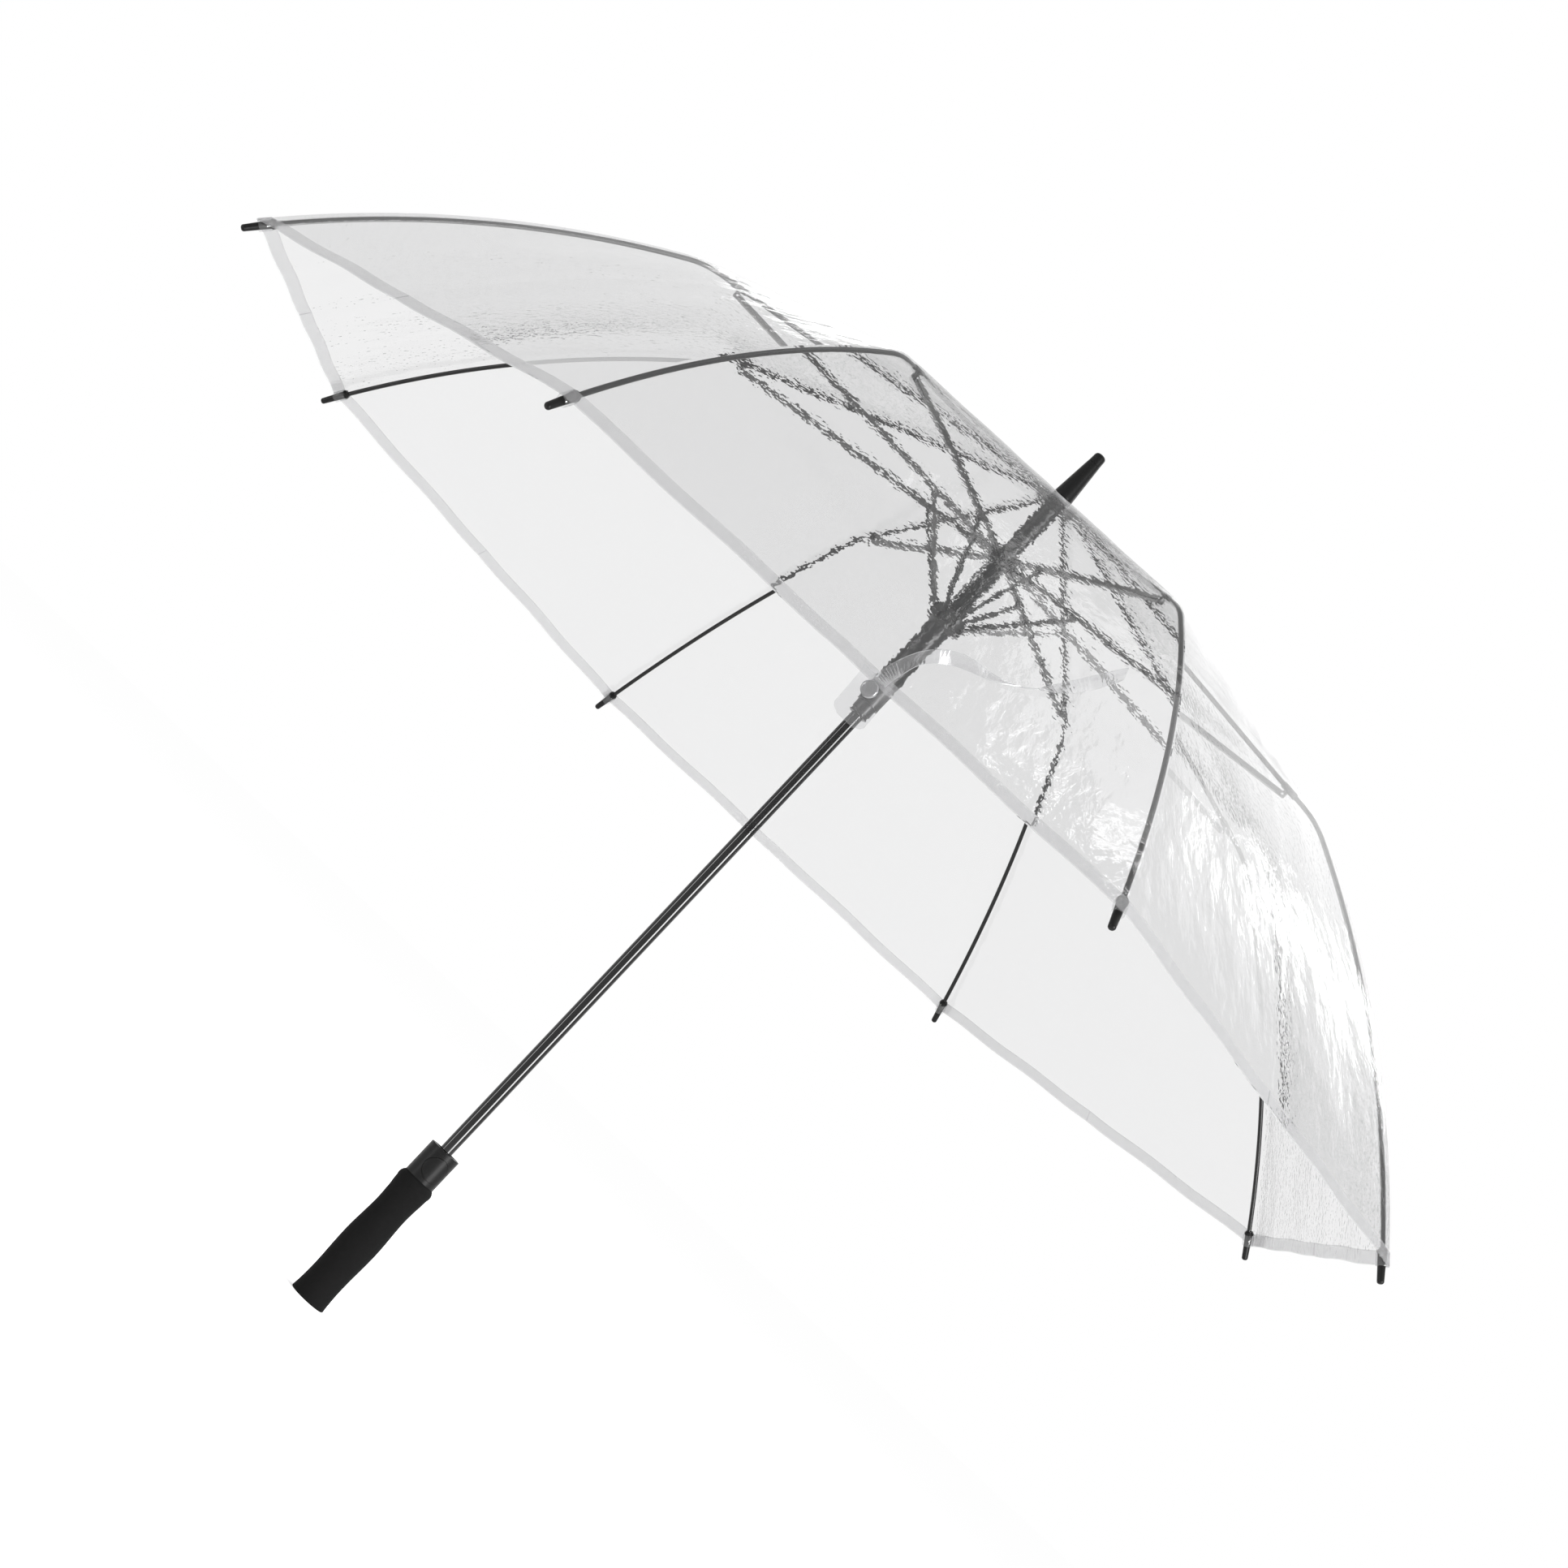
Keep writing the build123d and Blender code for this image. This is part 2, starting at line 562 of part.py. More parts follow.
# ---------------------------------------------------------------- stretchers and struts
CHANNEL_DEPTH = 4.2
CHANNEL_WALL = 0.6
KNUCKLE_R = 2.2
KNUCKLE_HOLE_R = 1.15
EAR_R = 2.0
RIVET_HOLE_R = RIVET_R + 0.05
link_frame = Plane(origin=xz(HUB_PIVOT), x_dir=xz(along_stretcher), z_dir=(0, -1, 0))
channel_plane = Plane(origin=xz(HUB_PIVOT), x_dir=(0, 1, 0), z_dir=xz(along_stretcher))
with BuildPart() as stretcher:
    # open channel, its web on the underside
    with BuildSketch(channel_plane.offset(3)):
        Rectangle(KNUCKLE_WIDTH, CHANNEL_DEPTH)
    extrude(amount=stretcher_length - 3)
    with BuildSketch(link_frame):
        with Locations((stretcher_length, 0)):
            Circle(CHANNEL_DEPTH / 2)
    extrude(amount=KNUCKLE_WIDTH / 2, both=True)
    with BuildSketch(link_frame):
        with Locations((8 + stretcher_length / 2, CHANNEL_WALL)):
            Rectangle(stretcher_length, CHANNEL_DEPTH)
        with Locations((stretcher_length, 0)):
            Rectangle(11, 2 * CHANNEL_DEPTH)
    extrude(amount=KNUCKLE_WIDTH / 2 - CHANNEL_WALL, both=True, mode=Mode.SUBTRACT)
    # knuckle on the hub's wire
    with BuildSketch(link_frame):
        Circle(KNUCKLE_R)
        with Locations((3, 0)):
            Rectangle(6, 2 * KNUCKLE_R - 0.6)
    extrude(amount=KNUCKLE_WIDTH / 2, both=True)
    with BuildSketch(link_frame):
        Circle(KNUCKLE_HOLE_R)
    extrude(amount=KNUCKLE_WIDTH, both=True, mode=Mode.SUBTRACT)
    # rivet holes at the rib
    with BuildSketch(link_frame):
        with Locations((stretcher_length, 0)):
            Circle(RIVET_HOLE_R)
    extrude(amount=KNUCKLE_WIDTH, both=True, mode=Mode.SUBTRACT)
    # ears and rivet for the strut
    with BuildSketch(link_frame):
        with Locations((STRUT_AT, -STRUT_DROP)):
            Circle(EAR_R)
        with Locations((STRUT_AT, -STRUT_DROP / 2 - 0.9)):
            Rectangle(2 * EAR_R, STRUT_DROP - 1.8)
    extrude(amount=KNUCKLE_WIDTH / 2, both=True)
    with BuildSketch(link_frame):
        with Locations((STRUT_AT, -STRUT_DROP - 1)):
            Rectangle(2 * EAR_R + 2, 2 * EAR_R + 2.4)
    extrude(amount=STRUT_WIDTH / 2 + 0.2, both=True, mode=Mode.SUBTRACT)
    with BuildSketch(link_frame):
        with Locations((STRUT_AT, -STRUT_DROP)):
            Circle(RIVET_R)
    extrude(amount=KNUCKLE_WIDTH / 2, both=True)
ring_of(stretcher.part, "stretcher")

STRUT_DEPTH = 3.4
STRUT_HOLE_R = 0.9
along_strut = heading(RUNNER_PIVOT, strut_rivet)
strut_frame = Plane(origin=xz(RUNNER_PIVOT), x_dir=xz(along_strut), z_dir=(0, -1, 0))
with BuildPart() as strut:
    with BuildSketch(strut_frame):
        with Locations((strut_length / 2, 0)):
            SlotCenterToCenter(strut_length, STRUT_DEPTH)
        Circle(STRUT_HOLE_R, mode=Mode.SUBTRACT)
        with Locations((strut_length, 0)):
            Circle(RIVET_HOLE_R, mode=Mode.SUBTRACT)
    extrude(amount=STRUT_WIDTH / 2, both=True)
ring_of(strut.part, "strut")

# ---------------------------------------------------------------- canopy
CROWN_POINT = (9.5, 941.6)
BEND_FACETS = 2
OUTER_FACETS = 8
PANEL_GAP = 0.3
half_gore = radians(RIB_STEP / 2)
hem_share = 1 - HEM_FROM_TIP / easy.length


def lifted(edge, share, gap):
    """A point above the rib's curve, where the film passes over it."""
    point = edge @ share
    direction = edge % share
    return (point.X - gap * direction.Z, point.Z + gap * direction.X)


film_line = [CROWN_POINT, on_rib(1, FILM_GAP)]
film_line += [lifted(tight, i / BEND_FACETS, FILM_GAP) for i in range(BEND_FACETS + 1)]
for i in range(1, OUTER_FACETS + 1):
    share = i / OUTER_FACETS
    film_line.append(lifted(easy, share * hem_share, FILM_GAP + (HEM_GAP - FILM_GAP) * share))
# the film lies flat from rib to rib, so between two ribs it is nearer to the shaft by this much
film_inside = [(r * cos(half_gore), z) for r, z in film_line]


def raised(points, height):
    """The same outline moved outwards by the film's thickness, corner by corner."""
    moved = []
    for i, (r, z) in enumerate(points):
        r0, z0 = points[max(i - 1, 0)]
        r1, z1 = points[min(i + 1, len(points) - 1)]
        length = span((r0, z0), (r1, z1))
        moved.append((r - height * (z1 - z0) / length, z + height * (r1 - r0) / length))
    return moved


film_section = film_inside + list(reversed(raised(film_inside, FILM)))
with BuildPart() as gore:
    with BuildSketch(Plane.XZ):
        with BuildLine():
            Polyline(*film_section, close=True)
        make_face()
    extrude(amount=RIM_R / 2, both=True)
    with BuildSketch(Plane.XY.offset(RIM_Z - 20)):
        wedge_tip = PANEL_GAP / sin(half_gore)
        with BuildLine():
            Polyline(
                (wedge_tip, 0),
                (wedge_tip + RIM_R, RIM_R * sin(half_gore) / cos(half_gore)),
                (wedge_tip + RIM_R, -RIM_R * sin(half_gore) / cos(half_gore)),
                close=True,
            )
        make_face()
    extrude(amount=LENGTH - RIM_Z, mode=Mode.INTERSECT)

# two neighbouring gores, one each side of every other rib
for quarter in range(4):
    with BuildPart() as canopy_quarter:
        for side in (-1, 1):
            add(gore.part.rotate(Axis.Z, quarter * 90 + side * RIB_STEP / 2))
    canopy_quarter.part.label = f"canopy_quarter_{quarter + 1}"
    export_step(canopy_quarter.part, f"parts/canopy_quarter_{quarter + 1}.step")

# ---------------------------------------------------------------- closure strap and its snap
STRAP_AZIMUTH = 247.5
TAB_WIDTH = 26
TAB_LENGTH = 36
TAB_THICKNESS = 0.6
TAB_ACROSS = 31  # from the middle of the gore, towards rib 7
RIBBON_WIDTH = 10
RIBBON_LIFT = 9
SNAP_R = 6.0
hem_r, hem_z = film_inside[-1]
knee_r, knee_z = film_inside[-OUTER_FACETS // 2 - 1]
fall = atan2(knee_z - hem_z, hem_r - knee_r)
strap_up = (-cos(fall), sin(fall))
strap_out = (sin(fall), cos(fall))
with BuildPart() as closure_strap:
    # tab hanging from the hem
    with BuildSketch(Plane.YZ.offset(hem_r + RIBBON_LIFT * strap_out[0] - TAB_THICKNESS)):
        with Locations((TAB_ACROSS, hem_z - TAB_LENGTH / 2 + 8)):
            RectangleRounded(TAB_WIDTH, TAB_LENGTH, 4)
    extrude(amount=TAB_THICKNESS)
    # ribbon lying over the outside of the gore
    ribbon_origin = Vector(hem_r + RIBBON_LIFT * strap_out[0], 0, hem_z + RIBBON_LIFT * strap_out[1])
    with BuildSketch(Plane(origin=ribbon_origin, x_dir=(0, 1, 0), z_dir=xz(strap_out))):
        with BuildLine():
            ribbon = Polyline((TAB_ACROSS, 0), (TAB_ACROSS + 10, 40), (80, 78), (106, 95), (150, 190))
        trace(ribbon, RIBBON_WIDTH)
    extrude(amount=-TAB_THICKNESS)
strap = closure_strap.part.rotate(Axis.Z, STRAP_AZIMUTH)
strap.label = "closure_strap"
export_step(strap, "parts/closure_strap.step")

with BuildPart() as snap_stud:
    with BuildSketch(Plane.YZ.offset(hem_r + RIBBON_LIFT * strap_out[0] + 0.1)):
        with Locations((TAB_ACROSS, hem_z - 10)):
            Circle(SNAP_R)
    extrude(amount=1.6)
    fillet(snap_stud.edges().group_by(Axis.X)[-1], 0.8)
snap = snap_stud.part.rotate(Axis.Z, STRAP_AZIMUTH)
snap.label = "snap_stud"
export_step(snap, "parts/snap_stud.step")
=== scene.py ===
"""Clear-canopy stick umbrella: camera, light, materials, film canopy and trim round the CAD frame.

Metres, in the CAD frame: +Z up the shaft, rib 1 over +X, the push button facing -Y.
"""

from math import atan2, cos, pi, radians, sin, sqrt

import bpy
from mathutils import Matrix, Vector


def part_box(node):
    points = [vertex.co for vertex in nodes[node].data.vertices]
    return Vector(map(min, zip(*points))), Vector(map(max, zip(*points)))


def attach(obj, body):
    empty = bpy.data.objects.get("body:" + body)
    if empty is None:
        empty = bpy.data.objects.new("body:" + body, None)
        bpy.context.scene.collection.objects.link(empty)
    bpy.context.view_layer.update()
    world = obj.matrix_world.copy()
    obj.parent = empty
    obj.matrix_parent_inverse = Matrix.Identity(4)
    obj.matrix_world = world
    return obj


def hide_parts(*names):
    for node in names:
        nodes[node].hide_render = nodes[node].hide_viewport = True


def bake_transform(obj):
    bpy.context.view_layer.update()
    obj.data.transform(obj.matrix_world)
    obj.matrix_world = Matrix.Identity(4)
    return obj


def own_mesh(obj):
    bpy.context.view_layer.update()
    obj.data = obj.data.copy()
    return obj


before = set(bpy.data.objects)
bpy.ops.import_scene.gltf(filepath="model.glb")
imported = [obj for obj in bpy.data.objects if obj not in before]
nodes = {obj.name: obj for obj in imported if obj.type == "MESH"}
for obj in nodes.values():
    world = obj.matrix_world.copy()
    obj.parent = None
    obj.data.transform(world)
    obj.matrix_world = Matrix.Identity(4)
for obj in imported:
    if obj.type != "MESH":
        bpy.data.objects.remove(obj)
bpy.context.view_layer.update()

scene = bpy.context.scene

# ---------------------------------------------------------------- sizes, as in the CAD
RIBS = 8
STEP = 2 * pi / RIBS
HALF = STEP / 2
NOTCH = (0.017, 0.930)  # radius and height of the rib's hinge
SLOPE = radians(12.7)
BEND_AT = 0.336  # hinge of the folding rib, along the rib from the notch
CURVE_AT = 0.3475  # where the open rib leaves the straight
RIVET_AT = 0.326
RIVET_DROP = 0.0065
KNEE = (0.384, 0.842)  # where the tight curve eases off
TIP = (0.653, 0.591)
ROD_R = 0.0021
FILM_GAP = 0.0034  # film above the rib's centre line
HEM_GAP = 0.0058  # the same at the hem, where the film passes over the cap
HEM_FROM_TIP = 0.014
HEM_WIDTH = 0.011
RUNNER_PIVOT = (0.0165, 0.787)
CROWN = (0.0095, 0.9416)  # inner edge of the film

ALONG = (cos(SLOPE), -sin(SLOPE))
BEND = (NOTCH[0] + BEND_AT * ALONG[0], NOTCH[1] + BEND_AT * ALONG[1])


# ---------------------------------------------------------------- camera
def add_camera():
    """Low, close to level, rolled so that the shaft runs from the lower left to the upper right."""
    place = (-0.76489, -2.22148, 0.29351)
    heading = radians(18.87)
    rise = radians(7.26)
    roll = radians(43.34)
    ahead = Vector((sin(heading) * cos(rise), cos(heading) * cos(rise), sin(rise)))
    level = Vector((cos(heading), -sin(heading), 0))
    up = level.cross(ahead)
    right = level * cos(roll) + up * sin(roll)
    data = bpy.data.cameras.new("camera")
    data.lens = 62.82
    data.sensor_width = 36
    data.clip_end = 60
    camera = bpy.data.objects.new("camera", data)
    scene.collection.objects.link(camera)
    turn = Matrix((right, right.cross(ahead), -ahead)).transposed()
    camera.matrix_world = Matrix.Translation(place) @ turn.to_4x4()
    scene.camera = camera


add_camera()


# ---------------------------------------------------------------- materials
class Shader:
    """A small wrapper that adds nodes to a new material and links them."""

    def __init__(self, name):
        self.material = bpy.data.materials.new(name)
        self.material.use_nodes = True
        self.tree = self.material.node_tree
        self.tree.nodes.clear()
        self.output = self.tree.nodes.new("ShaderNodeOutputMaterial")

    def add(self, kind, inputs=None, **values):
        """A new node.

        inputs gives sockets another node's output or a constant; values are named sockets or properties.
        """
        node = self.tree.nodes.new("ShaderNode" + kind)
        for key, value in values.items():
            socket = node.inputs.get(key.replace("_", " "))
            if socket is not None:
                socket.default_value = value
            else:
                setattr(node, key, value)
        for key, source in (inputs or {}).items():
            if isinstance(source, bpy.types.NodeSocket):
                self.tree.links.new(source, node.inputs[key])
            else:
                node.inputs[key].default_value = source
        return node

    def mix(self, share, first, second):
        """Surface made of first, with share of second."""
        return self.add("MixShader", {0: share, 1: first, 2: second}).outputs[0]

    def finish(self, surface):
        self.tree.links.new(surface, self.output.inputs["Surface"])
        return self.material


def grain(shader, scale, strength, distance, stretch=(1, 1, 1), detail=3.0):
    """Bump from noise in the object's own space, scale per metre, distance the height in metres."""
    place = shader.add("TexCoord").outputs["Object"]
    spread = shader.add("Mapping", {"Vector": place}, Scale=stretch).outputs["Vector"]
    noise = shader.add("TexNoise", {"Vector": spread}, Scale=scale, Detail=detail)
    return shader.add("Bump", {"Height": noise.outputs[0]}, Strength=strength, Distance=distance)


def solid_material(name, colour, roughness, specular=0.5, coat=0.0, metallic=0.0, bump=None):
    """A plain opaque finish, with a fine surface grain when bump is given."""
    shader = Shader(name)
    links = {"Normal": grain(shader, *bump).outputs[0]} if bump else {}
    body = shader.add(
        "BsdfPrincipled",
        links,
        Base_Color=(*colour, 1),
        Roughness=roughness,
        Specular_IOR_Level=specular,
        Coat_Weight=coat,
        Coat_Roughness=0.06,
        Metallic=metallic,
    )
    return shader.finish(body.outputs[0])


def film_material(name, tint, haze, ripple, crease):
    """Thin clear film: tinted, rippling what is seen through it, with sharp reflections on gentle creases.

    ripple and crease are the heights, in metres, of the fine ripples and of the broad creases.
    """
    shader = Shader(name)
    rippled = grain(shader, scale=190, strength=1.0, distance=ripple, detail=1.5).outputs[0]
    creased = grain(
        shader, scale=22, strength=1.0, distance=crease, stretch=(1.5, 1.5, 0.5), detail=5.0
    ).outputs[0]
    facing = shader.add("LayerWeight", Blend=0.5).outputs["Facing"]
    bent = shader.add("BsdfRefraction", {"Normal": rippled}, Color=(*tint, 1), Roughness=0.0, IOR=1.014)
    clear = shader.add("BsdfTransparent", Color=(*tint, 1))
    # light goes straight through where the film is seen edge on, and on its way to a lamp
    grazing = shader.add("MapRange", {"Value": facing}, From_Min=0.62, From_Max=0.86).outputs[0]
    shadow = shader.add("LightPath").outputs["Is Shadow Ray"]
    straight = shader.add("Math", {0: grazing, 1: shadow}, operation="MAXIMUM").outputs[0]
    body = shader.mix(straight, bent.outputs[0], clear.outputs[0])
    milk = shader.add("BsdfDiffuse", Color=(0.8, 0.8, 0.81, 1))
    body = shader.mix(haze, body, milk.outputs[0])
    # the film mirrors a little face on and much more edge on
    mirror = shader.add("BsdfGlossy", {"Normal": creased}, Color=(1, 1, 1, 1), Roughness=0.1)
    steep = shader.add("Math", {0: facing, 1: 8.0}, operation="POWER").outputs[0]
    gloss = shader.add("Math", {0: steep, 1: 0.6, 2: 0.04}, operation="MULTIPLY_ADD").outputs[0]
    return shader.finish(shader.mix(gloss, body, mirror.outputs[0]))


gloss_black = solid_material("shaft_gloss", (0.002, 0.002, 0.002), 0.06, 0.22, coat=0.4)
satin_black = solid_material("satin_plastic", (0.004, 0.004, 0.004), 0.36, 0.13, bump=(900, 0.12, 0.0002))
hub_black = solid_material("hub_plastic", (0.008, 0.008, 0.008), 0.3, 0.25, bump=(700, 0.1, 0.0002))
rod_black = solid_material("rib_rod", (0.004, 0.004, 0.004), 0.3, 0.2)
steel_black = solid_material("frame_steel", (0.005, 0.005, 0.005), 0.26, 0.25)
foam_black = solid_material("grip_foam", (0.004, 0.004, 0.004), 0.85, 0.08, bump=(1400, 0.5, 0.0003))
spring_steel = solid_material("spring_steel", (0.42, 0.42, 0.43), 0.28, metallic=1.0)
clear_film = film_material("clear_film", (0.82, 0.82, 0.822), 0.015, 0.001, 0.0022)
welt_film = film_material("welt_film", (0.83, 0.83, 0.832), 0.06, 0.0002, 0.001)
pocket_film = film_material("pocket_film", (0.88, 0.88, 0.883), 0.02, 0.0002, 0.001)
washer_clear = film_material("clear_washer", (0.75, 0.76, 0.765), 0.4, 0.0001, 0.0002)
snap_clear = film_material("clear_snap", (0.66, 0.66, 0.664), 0.06, 0.0001, 0.0002)

FINISHES = {
    "shaft": gloss_black,
    "top_notch": hub_black,
    "crown_washer": washer_clear,
    "ferrule_cap": satin_black,
    "ferrule_tip": satin_black,
    "handle_housing": satin_black,
    "handle_grip": foam_black,
    "push_button": satin_black,
    "latch_yoke": hub_black,
    "button_spring": spring_steel,
    "upper_hub": hub_black,
    "hub_wire": spring_steel,
    "lower_runner": hub_black,
}
for k in range(1, RIBS + 1):
    FINISHES[f"stretcher_{k}"] = steel_black
    FINISHES[f"strut_{k}"] = steel_black
    FINISHES[f"tip_cap_{k}"] = satin_black
for node, material in FINISHES.items():
    for place in nodes[node].material_slots:
        place.link = "OBJECT"
        place.material = material


# ---------------------------------------------------------------- building meshes
def new_piece(name, verts, faces, material, smooth=True):
    """A mesh object in the CAD frame."""
    mesh = bpy.data.meshes.new(name)
    mesh.from_pydata([tuple(v) for v in verts], [], faces)
    mesh.validate()
    mesh.update()
    if smooth:
        mesh.shade_smooth()
    mesh.materials.append(material)
    piece = bpy.data.objects.new(name, mesh)
    scene.collection.objects.link(piece)
    return piece


def in_space(azimuth, point, aside=0.0):
    """A point of a rib's radial plane, (radius, height), moved aside anticlockwise, in space."""
    r, z = point
    return Vector((r * cos(azimuth) - aside * sin(azimuth), r * sin(azimuth) + aside * cos(azimuth), z))


def grid_faces(rows, columns, closed=False):
    """Quads over a grid of vertices stored row by row; closed joins the last column to the first."""
    faces = []
    for i in range(rows - 1):
        here, below = i * columns, (i + 1) * columns
        for j in range(columns if closed else columns - 1):
            after = (j + 1) % columns
            faces.append((here + j, here + after, below + after, below + j))
    return faces


def tube(name, path, radii, material, sides=14, caps=True):
    """A round tube along a path of points, with a radius for each."""
    verts = []
    side = None
    for i, point in enumerate(path):
        ahead = (path[min(i + 1, len(path) - 1)] - path[max(i - 1, 0)]).normalized()
        if side is None:
            side = ahead.orthogonal().normalized()
        side = (side - ahead * side.dot(ahead)).normalized()
        other = ahead.cross(side)
        for j in range(sides):
            turn = 2 * pi * j / sides
            verts.append(point + (side * cos(turn) + other * sin(turn)) * radii[i])
    faces = grid_faces(len(path), sides, closed=True)
    if caps:
        faces.append(tuple(range(sides))[::-1])
        faces.append(tuple(range((len(path) - 1) * sides, len(path) * sides)))
    return new_piece(name, verts, faces, material)


def ring(name, height, radius, wire, material):
    """A wire ring round the shaft."""
    count, sides = 96, 12
    verts = []
    for i in range(count):
        for j in range(sides):
            turn = 2 * pi * j / sides
            out = radius + wire * cos(turn)
            verts.append(in_space(2 * pi * i / count, (out, height + wire * sin(turn))))
    faces = grid_faces(count, sides, closed=True)
    last = (count - 1) * sides
    faces += [(last + j, last + (j + 1) % sides, (j + 1) % sides, j) for j in range(sides)]
    return new_piece(name, verts, faces, material)


# ---------------------------------------------------------------- the rib's curve
def tangent_arc(start, direction, end, count):
    """Points of the arc that leaves start along direction and reaches end, and its direction there."""
    normal = (-direction[1], direction[0])
    to_end = (end[0] - start[0], end[1] - start[1])
    radius = (to_end[0] ** 2 + to_end[1] ** 2) / (2 * (to_end[0] * normal[0] + to_end[1] * normal[1]))
    centre = (start[0] + radius * normal[0], start[1] + radius * normal[1])
    first = atan2(start[1] - centre[1], start[0] - centre[0])
    sweep = atan2(end[1] - centre[1], end[0] - centre[0]) - first
    size = abs(radius)
    points = []
    for i in range(count + 1):
        turn = first + sweep * i / count
        points.append((centre[0] + size * cos(turn), centre[1] + size * sin(turn)))
    last = first + sweep
    sign = 1 if sweep > 0 else -1
    return points, (-sin(last) * sign, cos(last) * sign)


def rib_line(straight_steps=30, arc_steps=26):
    """Centre line of an open rib from the notch to the tip of its cap."""
    line = []
    for i in range(straight_steps + 1):
        reach = CURVE_AT * i / straight_steps
        line.append((NOTCH[0] + reach * ALONG[0], NOTCH[1] + reach * ALONG[1]))
    tight, direction = tangent_arc(line.pop(), ALONG, KNEE, arc_steps)
    easy, direction = tangent_arc(KNEE, direction, TIP, arc_steps)
    return line + tight + easy[1:], direction


RIB_LINE, TIP_DIRECTION = rib_line()


def lengths_along(line):
    """Distance from the start of a line of points to each of them."""
    total, out = 0.0, [0.0]
    for a, b in zip(line, line[1:]):
        total += sqrt((b[0] - a[0]) ** 2 + (b[1] - a[1]) ** 2)
        out.append(total)
    return out


RIB_LENGTHS = lengths_along(RIB_LINE)


def on_rib(distance, lift=0.0):
    """Point at a distance along the rib's curve, lifted off it."""
    i = 0
    while i < len(RIB_LINE) - 2 and RIB_LENGTHS[i + 1] < distance:
        i += 1
    a, b = RIB_LINE[i], RIB_LINE[i + 1]
    step = RIB_LENGTHS[i + 1] - RIB_LENGTHS[i]
    share = (distance - RIB_LENGTHS[i]) / step
    direction = ((b[0] - a[0]) / step, (b[1] - a[1]) / step)
    return (
        a[0] + (b[0] - a[0]) * share - lift * direction[1],
        a[1] + (b[1] - a[1]) * share + lift * direction[0],
    )


RIB_LENGTH = RIB_LENGTHS[-1]
HEM_AT = RIB_LENGTH - HEM_FROM_TIP


def film_line(count=150):
    """The film over a rib, (radius, height), from the crown to the hem's outer edge."""
    line = [CROWN, (0.014, 0.9385)]
    first = 0.004
    for i in range(count + 1):
        distance = first + (HEM_AT - first) * i / count
        past_bend = max(0.0, (distance - BEND_AT) / (HEM_AT - BEND_AT))
        line.append(on_rib(distance, FILM_GAP + (HEM_GAP - FILM_GAP) * past_bend))
    return line


FILM_LINE = film_line()
HEM_R = FILM_LINE[-1][0]


def film_height(radius):
    """Height of the film over a rib at a radius."""
    i = 0
    while i < len(FILM_LINE) - 2 and FILM_LINE[i + 1][0] < radius:
        i += 1
    a, b = FILM_LINE[i], FILM_LINE[i + 1]
    return a[1] + (b[1] - a[1]) * (radius - a[0]) / (b[0] - a[0])


# ---------------------------------------------------------------- canopy
HEM_SLACK = 0.0006  # height of the film's waves at the hem


def film_point(azimuth, side, radius, across, lift=0.0):
    """A point of the film: radius as at the rib, across 0 at the rib and 1 in the middle of the gore."""
    slack = HEM_SLACK * (radius / HEM_R) ** 2 * sin(4 * pi * across)
    inward = radius * (1 - cos(HALF) ** 2) * across
    aside = side * radius * sin(HALF) * cos(HALF) * across
    return in_space(azimuth, (radius - inward, film_height(radius) + lift + slack), aside)


def film_normal(azimuth, side, radius, across):
    """Outward normal of the film."""
    small_r, small_s = 0.0015, 0.01
    r0, r1 = max(CROWN[0], radius - small_r), min(HEM_R, radius + small_r)
    s0, s1 = max(0.0, across - small_s), min(1.0, across + small_s)
    down = film_point(azimuth, side, r1, across) - film_point(azimuth, side, r0, across)
    over = film_point(azimuth, side, radius, s1) - film_point(azimuth, side, radius, s0)
    normal = down.cross(over) * side
    return normal.normalized()


def split_radius(across):
    """Radius at which the film passes the vertical plane through the rib's bend."""
    return BEND[0] / (1 - (1 - cos(HALF) ** 2) * across)


def unit(start, end):
    """Unit vector of the radial plane from start to end, and its normal upwards."""
    size = sqrt((end[0] - start[0]) ** 2 + (end[1] - start[1]) ** 2)
    along = ((end[0] - start[0]) / size, (end[1] - start[1]) / size)
    return along, (-along[1], along[0])


ROWS = 30
COLUMNS = 18


def crown_radius(across):
    return CROWN[0]


def hem_radius(across):
    return HEM_R


def film_piece(name, azimuth, side, start, end):
    """A piece of film between two radii, given as functions of how far across the gore it is."""
    verts, normals = [], []
    for i in range(ROWS):
        for j in range(COLUMNS):
            across = j / (COLUMNS - 1)
            radius = start(across) + (end(across) - start(across)) * i / (ROWS - 1)
            verts.append(film_point(azimuth, side, radius, across))
            normals.append(film_normal(azimuth, side, radius, across))
    faces = grid_faces(ROWS, COLUMNS)
    if side > 0:
        faces = [face[::-1] for face in faces]
    piece = new_piece(name, verts, faces, clear_film)
    piece.data.normals_split_custom_set_from_vertices([tuple(n) for n in normals])
    return piece


def add_half_gore(k, side):
    """Film and welt of the half gore on one side of rib k; gives back the inner piece of film."""
    azimuth = (k - 1) * STEP
    hand = "left" if side > 0 else "right"
    inner = film_piece(f"film_inner_{k}_{hand}", azimuth, side, crown_radius, split_radius)
    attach(inner, f"rib_inner_{k}")
    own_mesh(inner)
    outer = film_piece(f"film_outer_{k}_{hand}", azimuth, side, split_radius, hem_radius)
    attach(outer, f"rib_outer_{k}")
    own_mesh(outer)
    welt = add_welt(f"hem_{k}_{hand}", azimuth, side)
    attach(welt, f"rib_outer_{k}")
    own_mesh(welt)
    return inner


